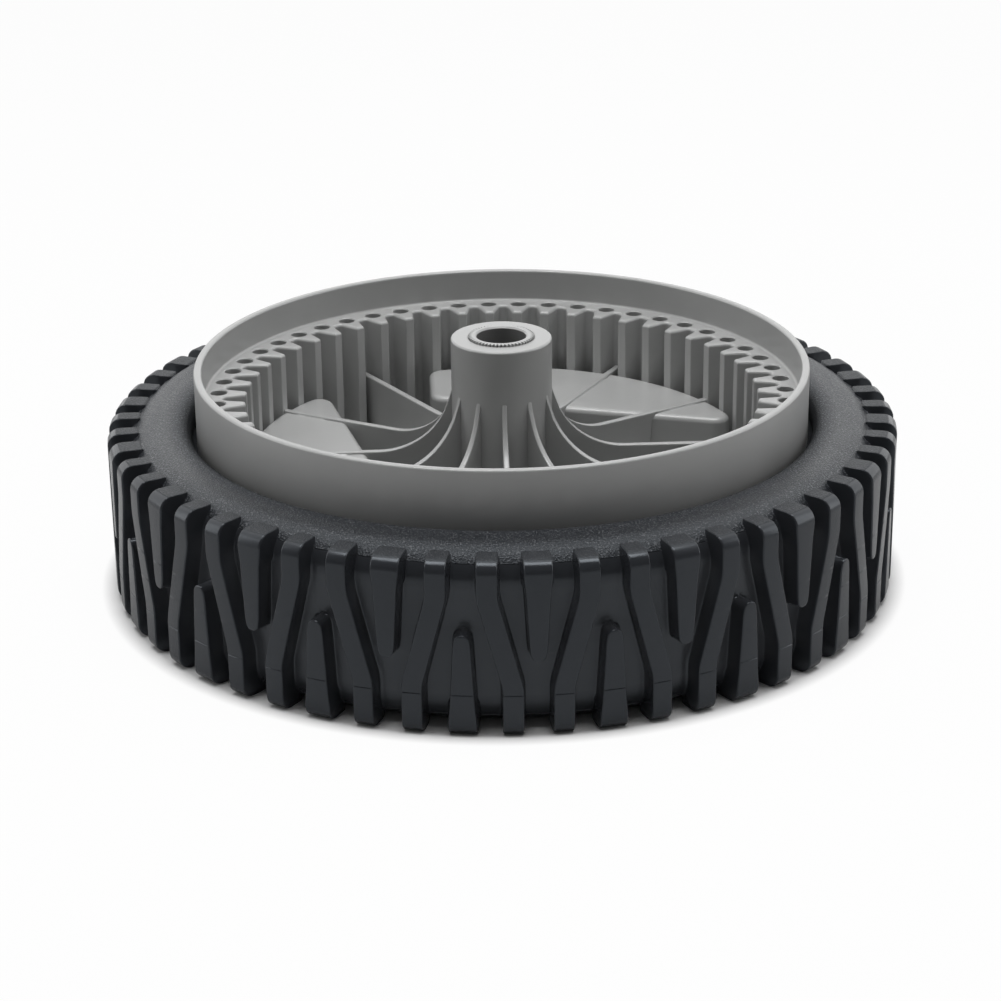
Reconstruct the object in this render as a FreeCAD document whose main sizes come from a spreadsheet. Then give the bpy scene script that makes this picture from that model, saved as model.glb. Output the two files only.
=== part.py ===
"""Drive wheel of a lawn mower: a rubber tyre, a plastic hub with an internal ring gear, and a pressed bush.

Millimetres. +Z is the axle, pointing at the machine. The wheel lies on its outer face, on Z = 0, and the
origin is on the axle.
"""
import FreeCAD, Part
import math
import os

import Sketcher

SIZES = {
    # axle bush
    "bore_diameter": 12.75,
    "bush_wall": 2.125,
    "bush_proud": 0.5,
    "bush_chamfer": 0.4,
    "serration_count": 54,
    "serration_depth": 0.85,
    "serration_width": 0.65,
    # boss and floor of the hub
    "boss_wall": 4.5,
    "boss_foot_height": 8,
    "boss_rise": 6,
    "boss_edge_round": 0.8,
    "floor_height": 16,
    "floor_thickness": 3,
    # ring gear
    "gear_teeth": 54,
    "gear_module": 2.54,
    "pressure_angle": 14.5,
    "root_clearance": 0.635,
    "gear_depth": 16.2,
    "ring_wall": 5.145,
    "core_hole_diameter": 4.3,
    "core_hole_set": 1.54,
    "core_hole_depth": 14,
    # rim drum
    "rim_wall": 2,
    "rim_foot_height": 3,
    "rim_edge_round": 0.6,
    "lip_rise": 8.7,
    "seat_ridge_height": 1.5,
    "seat_ridge_width": 10,
    # raised plates between the spokes
    "plate_count": 3,
    "plate_rise": 16.3,
    "plate_thickness": 3,
    "plate_wall": 2.5,
    "plate_chord": 34.5,
    "plate_slant": 17.4,
    "plate_side": 17.5,
    "plate_corner": 5,
    "plate_end_round": 4,
    "plate_bite": 0.3,
    # curved ribs
    "rib_count": 12,
    "rib_thickness": 1.8,
    "rib_proud": 0.6,
    "rib_sweep": 19,
    "hub_turn": 2.7,
    # tyre and tread
    "tyre_section": 22.7,
    "tyre_width": 44,
    "bead_gap": 1.4,
    "bead_depth": 6,
    "bead_round": 3.5,
    "shoulder_round": 8,
    "lug_height": 4.4,
    "lug_overlap": 3.7,
    "lug_end_round": 3.2,
    "lug_end_fall": 0.6,
    "tread_periods": 18,
    "long_lug_width": 4.95,
    "upper_bend_drop": 9.5,
    "lower_bend_rise": 12.3,
    "finger_width": 6.7,
    "finger_tip_width": 3.8,
    "finger_tip_ease": 0.3,
    "top_finger_stop": 19,
    "bottom_finger_stop": 18.3,
    "tread_turn": -5.6,
    # how far a cutting outline stands clear of what it cuts
    "cut_margin": 2,
}
LUGS_PER_PERIOD = 3


class Size:
    """A number together with the formula that makes it from the sheet's cells."""

    def __init__(self, value, text):
        self.value = value
        self.text = text

    def __add__(self, other):
        other = as_size(other)
        return Size(self.value + other.value, f"({self.text} + {other.text})")

    def __sub__(self, other):
        other = as_size(other)
        return Size(self.value - other.value, f"({self.text} - {other.text})")

    def __mul__(self, other):
        other = as_size(other)
        return Size(self.value * other.value, f"({self.text} * {other.text})")

    def __truediv__(self, other):
        other = as_size(other)
        return Size(self.value / other.value, f"({self.text} / {other.text})")

    def __neg__(self):
        return Size(-self.value, f"(0 - {self.text})")


def as_size(item):
    return item if isinstance(item, Size) else Size(item, str(item))


def sine(angle):
    return Size(math.sin(math.radians(angle.value)), f"sin({angle.text})")


def cosine(angle):
    return Size(math.cos(math.radians(angle.value)), f"cos({angle.text})")


def tangent(angle):
    return Size(math.tan(math.radians(angle.value)), f"tan({angle.text})")


def other_leg(hypotenuse, leg):
    """Remaining leg of a right triangle."""
    square = hypotenuse * hypotenuse - leg * leg
    return Size(math.sqrt(square.value), f"sqrt({square.text})")


def diagonal(width, height):
    """Hypotenuse of a right triangle."""
    square = width * width + height * height
    return Size(math.sqrt(square.value), f"sqrt({square.text})")


ZERO = as_size(0)
PI = Size(math.pi, "pi")

doc = FreeCAD.newDocument("wheel")
sheet = doc.addObject("Spreadsheet::Sheet", "sizes")
for row, (alias, number) in enumerate(SIZES.items(), start=1):
    sheet.set(f"A{row}", str(number))
    sheet.setAlias(f"A{row}", alias)
doc.recompute()
size = {alias: Size(number, f"sizes.{alias}") for alias, number in SIZES.items()}

# Radii, from the axle outwards
bore_radius = size["bore_diameter"] / 2
bush_radius = bore_radius + size["bush_wall"]
boss_radius = bush_radius + size["boss_wall"]
pitch_radius = size["gear_module"] * size["gear_teeth"] / 2
tip_radius = pitch_radius - size["gear_module"]
root_radius = pitch_radius + size["gear_module"] + size["root_clearance"]
ring_middle = root_radius + size["ring_wall"] / 2
drum_radius = root_radius + size["ring_wall"]
rim_radius = drum_radius + size["rim_wall"]
tyre_radius = rim_radius + size["tyre_section"]
tread_base = tyre_radius - size["lug_height"]
lug_pitch = PI * tyre_radius * 2 / (size["tread_periods"] * LUGS_PER_PERIOD)
lug_start = tread_base - size["lug_overlap"]
rough_crown = tyre_radius + size["cut_margin"] / 2
rough_corner = diagonal(rough_crown, lug_pitch + size["long_lug_width"] / 2)

# Levels, from the resting plane up
floor_top = size["floor_height"]
floor_under = floor_top - size["floor_thickness"]
plate_top = floor_top + size["plate_rise"]
rib_top = plate_top + size["rib_proud"]
gear_face = plate_top + size["gear_depth"]
lip_top = gear_face + size["lip_rise"]
boss_top = lip_top + size["boss_rise"]
boss_foot = size["boss_foot_height"]
tyre_width = size["tyre_width"]
ridge_low = tyre_width / 2 - size["seat_ridge_width"] / 2
ridge_high = tyre_width / 2 + size["seat_ridge_width"] / 2
ridge_radius = rim_radius + size["seat_ridge_height"]


def origin_feature(body, role):
    return next(item for item in body.Origin.OriginFeatures if item.Role == role)


def new_body(name):
    body = doc.addObject("PartDesign::Body", name)
    body.Label = name
    return body


def new_sketch(body, name, plane, lift=None, turn=None):
    """Sketch on one of the body's planes, lifted along its normal and turned about the axle."""
    sketch = body.newObject("Sketcher::SketchObject", name)
    sketch.AttachmentSupport = [(origin_feature(body, plane), "")]
    sketch.MapMode = "FlatFace"
    if turn is not None:
        upright = FreeCAD.Rotation(FreeCAD.Vector(0, 1, 0), turn.value)
        sketch.AttachmentOffset = FreeCAD.Placement(FreeCAD.Vector(), upright)
        sketch.setExpression("AttachmentOffset.Rotation.Angle", turn.text)
        sketch.setExpression("AttachmentOffset.Base.x", (lift * sine(turn)).text)
        sketch.setExpression("AttachmentOffset.Base.z", (lift * cosine(turn)).text)
    elif lift is not None:
        sketch.setExpression("AttachmentOffset.Base.z", lift.text)
    return sketch


def bind(sketch, kind, references, target):
    """Adds a dimension to the sketch and ties it to its formula."""
    index = sketch.addConstraint(Sketcher.Constraint(kind, *references, target.value))
    sketch.setExpression(f"Constraints[{index}]", target.text)


def add_edge(sketch, start, end, bow):
    """Adds a straight or round edge and gives its number and the numbers of its two ends."""
    first = FreeCAD.Vector(start[0].value, start[1].value, 0)
    last = FreeCAD.Vector(end[0].value, end[1].value, 0)
    if bow is None:
        return sketch.addGeometry(Part.LineSegment(first, last)), 1, 2
    centre = FreeCAD.Vector(bow["centre"][0].value, bow["centre"][1].value, 0)
    circle = Part.Circle(centre, FreeCAD.Vector(0, 0, 1), bow["radius"].value)
    angles = [math.atan2(point.y - centre.y, point.x - centre.x) for point in (first, last)]
    if bow["hollow"]:
        return sketch.addGeometry(Part.ArcOfCircle(circle, angles[1], angles[0])), 2, 1
    return sketch.addGeometry(Part.ArcOfCircle(circle, angles[0], angles[1])), 1, 2


def outline(sketch, points, arcs=None):
    """Closes an outline through the points; arcs holds the round edges by the number of their first point."""
    arcs = arcs or {}
    edges = []
    for number, start in enumerate(points):
        end = points[(number + 1) % len(points)]
        edges.append(add_edge(sketch, start, end, arcs.get(number)))
    for number, (edge, first, _) in enumerate(edges):
        previous, _, last = edges[number - 1]
        sketch.addConstraint(Sketcher.Constraint("Coincident", previous, last, edge, first))
        across, along = points[number]
        if across is ZERO:
            sketch.addConstraint(Sketcher.Constraint("PointOnObject", edge, first, -2))
        else:
            bind(sketch, "DistanceX", (-1, 1, edge, first), across)
        if along is ZERO:
            sketch.addConstraint(Sketcher.Constraint("PointOnObject", edge, first, -1))
        else:
            bind(sketch, "DistanceY", (-1, 1, edge, first), along)
        if number in arcs:
            bind(sketch, "Radius", (edge,), arcs[number]["radius"])
    return sketch


def arc(across, along, radius, hollow=False):
    """Round edge about a centre; a hollow one runs clockwise."""
    return {"centre": (across, along), "radius": radius, "hollow": hollow}


def turned(body, kind, name, sketch):
    """Revolution or groove of an upright sketch about the axle."""
    feature = body.newObject(f"PartDesign::{kind}", name)
    feature.Profile = sketch
    feature.ReferenceAxis = (sketch, ["V_Axis"])
    feature.Angle = 360
    doc.recompute()
    return feature


def extruded(body, kind, name, sketch, length, midplane=False, reverse=False):
    """Pad or pocket of a sketch."""
    feature = body.newObject(f"PartDesign::{kind}", name)
    feature.Profile = sketch
    feature.setExpression("Length", length.text)
    if midplane:
        feature.SideType = "Symmetric"
    feature.Reversed = reverse
    doc.recompute()
    return feature


def ringed(body, name, features, count):
    """Copies of features spread evenly round the axle."""
    pattern = body.newObject("PartDesign::PolarPattern", name)
    pattern.Originals = features
    pattern.Axis = (origin_feature(body, "Z_Axis"), [""])
    pattern.Angle = 360
    pattern.setExpression("Occurrences", count.text)
    body.Tip = pattern
    doc.recompute()
    return pattern


def cut_checked(before, feature):
    """Stops the build where a cut has taken nothing away."""
    if feature.Shape.Volume >= before.Shape.Volume:
        raise RuntimeError(f"{feature.Name} cuts nothing")


def make_bush():
    """Sleeve a little longer than the boss, with straight serrations that bite into it."""
    body = new_body("axle_bush")
    top = boss_top + size["bush_proud"]
    lead = size["bush_chamfer"]
    section = outline(new_sketch(body, "bush_section", "XZ_Plane"), [
        (bore_radius, boss_foot),
        (bush_radius, boss_foot),
        (bush_radius, top),
        (bore_radius + lead, top),
        (bore_radius, top - lead),
    ])
    sleeve = turned(body, "Revolution", "sleeve", section)
    # each valley's sides run on past the surface at the same slope
    valley = bush_radius - size["serration_depth"]
    outside = bush_radius + size["serration_depth"]
    notch = outline(new_sketch(body, "serration_outline", "XY_Plane", lift=boss_foot), [
        (valley, ZERO),
        (outside, size["serration_width"]),
        (outside, -size["serration_width"]),
    ])
    valley_cut = extruded(body, "Pocket", "serration", notch, top - boss_foot, reverse=True)
    cut_checked(sleeve, valley_cut)
    ringed(body, "serrations", [valley_cut], size["serration_count"])
    return body


def hub_section(body):
    """Half section of the boss, floor, gear ring and rim drum."""
    boss_edge = size["boss_edge_round"]
    lip_edge = size["rim_edge_round"]
    rim_foot = size["rim_foot_height"]
    points = [
        (bush_radius, boss_foot),
        (boss_radius, boss_foot),
        (boss_radius, floor_under),
        (drum_radius, floor_under),
        (drum_radius, rim_foot),
        (rim_radius, rim_foot),
        (rim_radius, ridge_low),
        (ridge_radius, ridge_low),
        (ridge_radius, ridge_high),
        (rim_radius, ridge_high),
        (rim_radius, lip_top - lip_edge),
        (rim_radius - lip_edge, lip_top),
        (drum_radius + lip_edge, lip_top),
        (drum_radius, lip_top - lip_edge),
        (drum_radius, gear_face),
        (tip_radius, gear_face),
        (tip_radius, floor_top),
        (boss_radius, floor_top),
        (boss_radius, boss_top - boss_edge),
        (boss_radius - boss_edge, boss_top),
        (bush_radius, boss_top),
    ]
    arcs = {
        10: arc(rim_radius - lip_edge, lip_top - lip_edge, lip_edge),
        12: arc(drum_radius + lip_edge, lip_top - lip_edge, lip_edge),
        18: arc(boss_radius - boss_edge, boss_top - boss_edge, boss_edge),
    }
    return outline(new_sketch(body, "hub_section", "XZ_Plane"), points, arcs)


def tooth_space(body):
    """Straight-sided gap between two teeth, open towards the axle."""
    mouth = tip_radius - size["cut_margin"]
    half_pitch_gap = PI * size["gear_module"] / 4
    slope = tangent(size["pressure_angle"])
    half_mouth = half_pitch_gap + (pitch_radius - mouth) * slope
    half_root = half_pitch_gap - (root_radius - pitch_radius) * slope
    return outline(new_sketch(body, "tooth_space_outline", "XY_Plane", lift=floor_top), [
        (mouth, -half_mouth),
        (root_radius, -half_root),
        (root_radius, half_root),
        (mouth, half_mouth),
    ])


def plate_outline(body, name, level, side, chord, reach, corner):
    """Plan of a raised plate: a side, a slanted inner edge and the ring's arc, with round corners."""
    slant = size["plate_slant"]
    end = size["plate_end_round"]
    corner_height = (chord + side * sine(slant)) / cosine(slant)
    set_back = corner / tangent((slant + 90) / 2)
    # centres of the round ends, which touch the ring's arc from inside
    end_reach = reach - end
    side_end = (end - side, other_leg(end_reach, side - end))
    edge_along = other_leg(end_reach, chord + end)
    edge_end = slanted(chord + end, edge_along, slant)
    grow = reach / end_reach
    points = [
        (-side, side_end[1]),
        (-side, corner_height + set_back),
        (set_back * cosine(slant) - side, corner_height - set_back * sine(slant)),
        slanted(chord, edge_along, slant),
        (edge_end[0] * grow, edge_end[1] * grow),
        (side_end[0] * grow, side_end[1] * grow),
    ]
    arcs = {
        1: arc(corner - side, corner_height + set_back, corner),
        3: arc(*edge_end, end),
        4: arc(ZERO, ZERO, reach),
        5: arc(*side_end, end),
    }
    return outline(new_sketch(body, name, "XY_Plane", lift=level), points, arcs)


def slanted(out, along, slant):
    """Point at a distance out from the axle, square to a plate's inner edge, and along that edge."""
    return out * sine(slant) + along * cosine(slant), out * cosine(slant) - along * sine(slant)


def rib_outline(body):
    """Side view of a rib: level out to the ring, and swept up to the boss in a hollow curve."""
    sweep = size["rib_sweep"]
    inside = boss_radius - size["boss_wall"] / 2
    points = [
        (inside, floor_under),
        (ring_middle, floor_under),
        (ring_middle, rib_top),
        (boss_radius + sweep, rib_top),
        (boss_radius, rib_top + sweep),
        (inside, rib_top + sweep),
    ]
    arcs = {3: arc(boss_radius + sweep, rib_top + sweep, sweep, hollow=True)}
    return outline(new_sketch(body, "rib_outline", "XZ_Plane"), points, arcs)


def core_hole(body):
    """Round hole on a tooth's middle line, beyond its root."""
    sketch = new_sketch(body, "core_hole_outline", "XY_Plane", lift=gear_face)
    circle_radius = root_radius + size["core_hole_set"]
    half_tooth = as_size(180) / size["gear_teeth"]
    across = circle_radius * cosine(half_tooth)
    along = circle_radius * sine(half_tooth)
    hole_radius = size["core_hole_diameter"] / 2
    centre = FreeCAD.Vector(across.value, along.value, 0)
    circle = sketch.addGeometry(Part.Circle(centre, FreeCAD.Vector(0, 0, 1), hole_radius.value))
    bind(sketch, "DistanceX", (-1, 1, circle, 3), across)
    bind(sketch, "DistanceY", (-1, 1, circle, 3), along)
    bind(sketch, "Radius", (circle,), hole_radius)
    return sketch


def make_hub():
    """Wheel body moulded in one piece."""
    body = new_body("hub")
    drum = turned(body, "Revolution", "drum", hub_section(body))

    gap = extruded(body, "Pocket", "tooth_space", tooth_space(body), gear_face - floor_top, reverse=True)
    cut_checked(drum, gap)
    ringed(body, "tooth_spaces", [gap], size["gear_teeth"])

    side = size["plate_side"]
    chord = size["plate_chord"]
    corner = size["plate_corner"]
    reach = tip_radius + size["plate_bite"]
    plate = plate_outline(body, "plate_outline", floor_under, side, chord, reach, corner)
    raised = extruded(body, "Pad", "plate", plate, plate_top - floor_under)
    ringed(body, "plates", [raised], size["plate_count"])

    rib = extruded(body, "Pad", "rib", rib_outline(body), size["rib_thickness"], midplane=True)
    ribs = ringed(body, "ribs", [rib], size["rib_count"])

    inner_side = side - size["plate_wall"]
    inner_chord = chord + size["plate_wall"]
    inner_reach = reach - size["plate_wall"]
    inside = plate_outline(body, "recess_outline", floor_under, inner_side, inner_chord, inner_reach, corner)
    recess_depth = plate_top - size["plate_thickness"] - floor_under
    recess = extruded(body, "Pocket", "recess", inside, recess_depth, reverse=True)
    cut_checked(ribs, recess)
    recesses = ringed(body, "recesses", [recess], size["plate_count"])

    hole = extruded(body, "Pocket", "core_hole", core_hole(body), size["core_hole_depth"])
    cut_checked(recesses, hole)
    ringed(body, "core_holes", [hole], size["gear_teeth"])
    body.setExpression("Placement.Rotation.Angle", size["hub_turn"].text)
    return body


def tyre_section(body):
    """Half section of the plain tyre under the tread, with a groove beside the rim on both faces."""
    depth = size["bead_depth"]
    bead = size["bead_round"]
    shoulder = size["shoulder_round"]
    lip = rim_radius + size["bead_gap"]
    points = [
        (rim_radius, depth),
        (lip, depth),
        (lip, bead),
        (lip + bead, ZERO),
        (tread_base - shoulder, ZERO),
        (tread_base, shoulder),
        (tread_base, tyre_width - shoulder),
        (tread_base - shoulder, tyre_width),
        (lip + bead, tyre_width),
        (lip, tyre_width - bead),
        (lip, tyre_width - depth),
        (rim_radius, tyre_width - depth),
        (rim_radius, ridge_high),
        (ridge_radius, ridge_high),
        (ridge_radius, ridge_low),
        (rim_radius, ridge_low),
    ]
    arcs = {
        2: arc(lip + bead, bead, bead),
        4: arc(tread_base - shoulder, shoulder, shoulder),
        6: arc(tread_base - shoulder, tyre_width - shoulder, shoulder),
        8: arc(lip + bead, tyre_width - bead, bead),
    }
    return outline(new_sketch(body, "tyre_section", "XZ_Plane"), points, arcs)


def long_lug(sketch, lean):
    """Lug that runs across the tread and leans out half a lug pitch between its two bends."""
    half = size["long_lug_width"] / 2
    high = lug_pitch * (lean / 2)
    low = lug_pitch * lean
    upper_bend = tyre_width - size["upper_bend_drop"]
    lower_bend = size["lower_bend_rise"]
    return outline(sketch, [
        (low - half, ZERO),
        (low + half, ZERO),
        (low + half, lower_bend),
        (high + half, upper_bend),
        (high + half, tyre_width),
        (high - half, tyre_width),
        (high - half, upper_bend),
        (low - half, lower_bend),
    ])


half_finger = size["finger_width"] / 2
half_tip = size["finger_tip_width"] / 2
tip_round = half_tip + size["finger_tip_ease"]
tip_drop = other_leg(tip_round, half_tip)


def bottom_finger(sketch):
    """Short tapered lug from the outer edge, with a round tip."""
    tip_centre = tyre_width - size["bottom_finger_stop"] - tip_round
    tip_base = tip_centre + tip_drop
    points = [
        (-half_finger, ZERO),
        (half_finger, ZERO),
        (half_tip, tip_base),
        (-half_tip, tip_base),
    ]
    return outline(sketch, points, {2: arc(ZERO, tip_centre, tip_round)})


def top_finger(sketch):
    """Short tapered lug from the inner edge, with a round tip."""
    tip_centre = size["top_finger_stop"] + tip_round
    tip_base = tip_centre - tip_drop
    points = [
        (half_finger, tyre_width),
        (-half_finger, tyre_width),
        (-half_tip, tip_base),
        (half_tip, tip_base),
    ]
    return outline(sketch, points, {2: arc(ZERO, tip_centre, tip_round)})


def tread_envelope(body):
    """What lies outside the finished tread: beyond its radius and its rounded lug ends, lower at the top."""
    rounding = size["lug_end_round"]
    fall = size["lug_end_fall"]
    clear = size["cut_margin"]
    inner = tyre_radius - rounding
    lug_top = tyre_width - fall
    before_lugs = lug_start - fall / 4
    points = [
        (inner, -clear),
        (rough_corner + clear, -clear),
        (rough_corner + clear, tyre_width + clear),
        (before_lugs, tyre_width + clear),
        (before_lugs, lug_top),
        (inner, lug_top),
        (tyre_radius, lug_top - rounding),
        (tyre_radius, rounding),
        (inner, ZERO),
    ]
    arcs = {
        5: arc(inner, lug_top - rounding, rounding, hollow=True),
        7: arc(inner, rounding, rounding, hollow=True),
    }
    return outline(new_sketch(body, "tread_envelope", "XZ_Plane"), points, arcs)


def make_tyre():
    """Tyre with long lugs, and short fingers between them, wrapped over both shoulders."""
    body = new_body("tyre")
    turned(body, "Revolution", "carcass", tyre_section(body))
    length = rough_crown - lug_start
    half_period = as_size(180) / size["tread_periods"]
    sketches = [
        long_lug(new_sketch(body, "right_lug_outline", "XZ_Plane", lift=lug_start), 1),
        long_lug(new_sketch(body, "left_lug_outline", "XZ_Plane", lift=lug_start), -1),
        bottom_finger(new_sketch(body, "bottom_finger_outline", "XZ_Plane", lift=lug_start)),
        top_finger(new_sketch(body, "top_finger_outline", "XZ_Plane", lift=lug_start, turn=half_period)),
    ]
    names = ["right_lug", "left_lug", "bottom_finger", "top_finger"]
    lugs = [extruded(body, "Pad", name, sketch, length) for name, sketch in zip(names, sketches)]
    rough = ringed(body, "tread", lugs, size["tread_periods"])
    trimmed = turned(body, "Groove", "tread_trim", tread_envelope(body))
    body.Tip = trimmed
    cut_checked(rough, trimmed)
    body.setExpression("Placement.Rotation.Angle", size["tread_turn"].text)
    return body


parts = [make_bush(), make_hub(), make_tyre()]
doc.recompute()

for item in doc.Objects:
    if "Invalid" in item.State or "Error" in item.State:
        raise RuntimeError(f"{item.Name} failed: {item.State}")
for part in parts:
    shape = part.Shape
    if shape.isNull() or not shape.isValid() or len(shape.Solids) != 1:
        raise RuntimeError(f"{part.Label} is not one valid solid")

os.makedirs("parts", exist_ok=True)
for part in parts:
    part.Shape.exportStep(os.path.join("parts", f"{part.Label}.step"))
    print(f"{part.Label}: {part.Shape.Volume / 1000:.1f} cm3")
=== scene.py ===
"""Drive wheel of a lawn mower in a plain studio: lugged tyre, geared hub and serrated axle bush.

Metres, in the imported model's frame. +Z is the axle, and the wheel lies on its outer face at Z = 0.
An angle is counted from -Y towards +X, so that 0 degrees faces the camera.
"""

import math
from collections import namedtuple

import bmesh
import bpy
from mathutils import Euler, Matrix, Vector
from mathutils.geometry import tessellate_polygon


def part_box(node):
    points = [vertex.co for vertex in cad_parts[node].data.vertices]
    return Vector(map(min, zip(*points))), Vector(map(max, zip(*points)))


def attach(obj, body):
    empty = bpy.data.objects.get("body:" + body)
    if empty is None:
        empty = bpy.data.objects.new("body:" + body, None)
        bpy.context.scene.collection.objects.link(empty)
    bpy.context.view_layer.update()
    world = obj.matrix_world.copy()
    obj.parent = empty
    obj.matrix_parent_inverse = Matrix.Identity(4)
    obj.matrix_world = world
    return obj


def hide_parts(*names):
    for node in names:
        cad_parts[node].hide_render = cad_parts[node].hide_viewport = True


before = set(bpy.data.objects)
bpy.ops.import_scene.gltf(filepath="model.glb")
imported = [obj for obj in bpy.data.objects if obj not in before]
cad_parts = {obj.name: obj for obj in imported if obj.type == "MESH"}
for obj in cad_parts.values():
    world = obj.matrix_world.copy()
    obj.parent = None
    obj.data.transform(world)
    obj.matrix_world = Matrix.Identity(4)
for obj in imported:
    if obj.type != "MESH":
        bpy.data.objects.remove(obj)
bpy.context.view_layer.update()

MM = 0.001

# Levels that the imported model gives
TYRE_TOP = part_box("tyre")[1].z
RIM_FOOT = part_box("hub")[0].z
BOSS_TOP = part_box("hub")[1].z
BOSS_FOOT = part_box("axle_bush")[0].z
BUSH_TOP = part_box("axle_bush")[1].z

# Sizes of the tyre
TYRE_MIDDLE = TYRE_TOP / 2
TYRE_RADIUS = 101.6 * MM
LUG_HEIGHT = 4.4 * MM
TREAD_BASE = TYRE_RADIUS - LUG_HEIGHT
SHOULDER_ROUND = 8.0 * MM
BEAD_GAP = 1.4 * MM
BEAD_DEPTH = 6.0 * MM
BEAD_ROUND = 3.5 * MM
TREAD_PERIODS = 18
TREAD_TURN = math.radians(-5.6)
LUG_PITCH = 2 * math.pi * TYRE_RADIUS / (3 * TREAD_PERIODS)
LONG_LUG_HALF = 2.475 * MM
UPPER_BEND = TYRE_TOP - 9.5 * MM
LOWER_BEND = 12.3 * MM
BEND_EASE = 1.1 * MM
FINGER_HALF = 3.35 * MM
FINGER_TIP_HALF = 1.9 * MM
FINGER_GHOST_HALF = 1.2 * MM
TOP_FINGER_TIP = 19.0 * MM
BOTTOM_FINGER_TIP = 25.7 * MM
LUG_END_ROUND = 3.2 * MM
LUG_END_FALL = 0.6 * MM
LUG_EDGE_ROUND = 0.38 * MM
LUG_DRAFT = 0.25 * MM
LUG_FOOT_ROUND = 0.5 * MM
PAD_START = 93.5 * MM
PARTING_HEIGHT = 10.65 * MM
PARTING_DEPTH = 0.1 * MM
PARTING_HALF = 0.14 * MM
GRAIN_EDGE_SINK = 0.15 * MM
PAD_EDGE_ROUND = 1.6 * LUG_EDGE_ROUND
PAD_CORNER = 1.2 * MM
PAD_REST = 2.2 * MM
SIDEWALL_FLAT = 2.7 * MM

# Rows of the tyre's skin: degrees round the shoulder, shares of a stretch, and distances on the crown
CREST_ROWS = (6, 11, 16, 21, 26, 31, 36)
GRAIN_EDGE = 38
GRAIN_EDGE_HALF = 0.9
PAD_ROW = 46
PAD_END_ROWS = (50, 52.5, 55, 57.5)
SIDEWALL_ROWS = (60, 66, 72, 78, 84, 90)
PAD_CREST_SHARES = (0.2, 0.35, 0.5)
PAD_CORNER_SHARES = (0.12, 0.3, 0.6, 1)
TIP_ROW_SHARES = (0.0, 0.35, 0.6, 0.8)
ROW_SPACING = 2.6 * MM
LEAST_ROW_GAP = 0.05 * MM

# Sizes of the hub
RIM_RADIUS = 78.9 * MM
DRUM_RADIUS = 76.9 * MM
LIP_TOP = 57.2 * MM
LIP_EDGE_ROUND = 0.6 * MM
SEAT_RIDGE_RADIUS = RIM_RADIUS + 1.5 * MM
SEAT_RIDGE_HALF = 5.0 * MM
GEAR_TEETH = 54
GEAR_MODULE = 2.54 * MM
PRESSURE_ANGLE = math.radians(14.5)
PITCH_RADIUS = GEAR_MODULE * GEAR_TEETH / 2
TIP_RADIUS = PITCH_RADIUS - GEAR_MODULE
ROOT_RADIUS = PITCH_RADIUS + 3.175 * MM
GEAR_FACE = 48.5 * MM
TOOTH_TIP_ROUND = 0.3 * MM
TOOTH_LEAST_ROUND = 0.05 * MM
TOOTH_ROOT_ROUND = 1.05 * MM
TOOTH_END_ROUND = 0.85 * MM
FACE_FILLET = 0.7 * MM
CORE_HOLE_RADIUS = 2.15 * MM
CORE_HOLE_CIRCLE = ROOT_RADIUS + 1.54 * MM
CORE_HOLE_DEPTH = 14.0 * MM
CORE_HOLE_EDGE = 0.25 * MM
FLOOR_TOP = 16.0 * MM
FLOOR_UNDER = 13.0 * MM
FLOOR_MIDDLE = (FLOOR_TOP + FLOOR_UNDER) / 2
FLOOR_COLUMNS = 216
FLOOR_REACH = (DRUM_RADIUS + RIM_RADIUS) / 2
HUB_TURN = math.radians(2.7)
BOSS_RADIUS = 13.0 * MM
BOSS_EDGE_ROUND = 0.6 * MM
BOSS_COLUMNS = 144
BUSH_RADIUS = 8.5 * MM
BUSH_SEAT_CHAMFER = 0.2 * MM
BOSS_WALL_MIDDLE = (BOSS_RADIUS + BUSH_RADIUS) / 2
BORE_RADIUS = 6.375 * MM
PLATE_COUNT = 3
PLATE_TOP = 32.3 * MM
PLATE_THICKNESS = 3.0 * MM
PLATE_WALL = 2.5 * MM
PLATE_CHORD = 34.5 * MM
PLATE_SLANT = math.radians(17.4)
PLATE_SIDE = 17.5 * MM
PLATE_CORNER = 5.0 * MM
PLATE_END_ROUND = 4.0 * MM
PLATE_EDGE_ROUND = 1.6 * MM
PLATE_REACH = TIP_RADIUS + 0.3 * MM
RIB_COUNT = 12
RIB_TOP = PLATE_TOP + 0.6 * MM
RIB_SWEEP = 19.0 * MM
RIB_HALF = 0.9 * MM
RIB_BOSS_HALF = 0.6 * MM
RIB_EDGE_ROUND = 0.4 * MM
RIB_RIDGE_FLARE = 2.2 * MM
RIB_RIDGE_MARGIN = 4.4 * MM
RIB_REACH = 73.0 * MM
RIB_STEP = 1.4 * MM

# Sizes of the axle bush, with the depth shares that make up one serration
SERRATIONS = 54
SERRATION_DEPTH = 0.85 * MM
SERRATION_FORM = (0, 0, 0, 0.5, 1, 1, 0.5, 0)
BUSH_CHAMFER = 0.4 * MM
BUSH_EDGE = 0.1 * MM

# Seams closer than this are closed, and edges sharper than this stay sharp
WELD = 1e-7
CREASE = math.radians(32)


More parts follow.
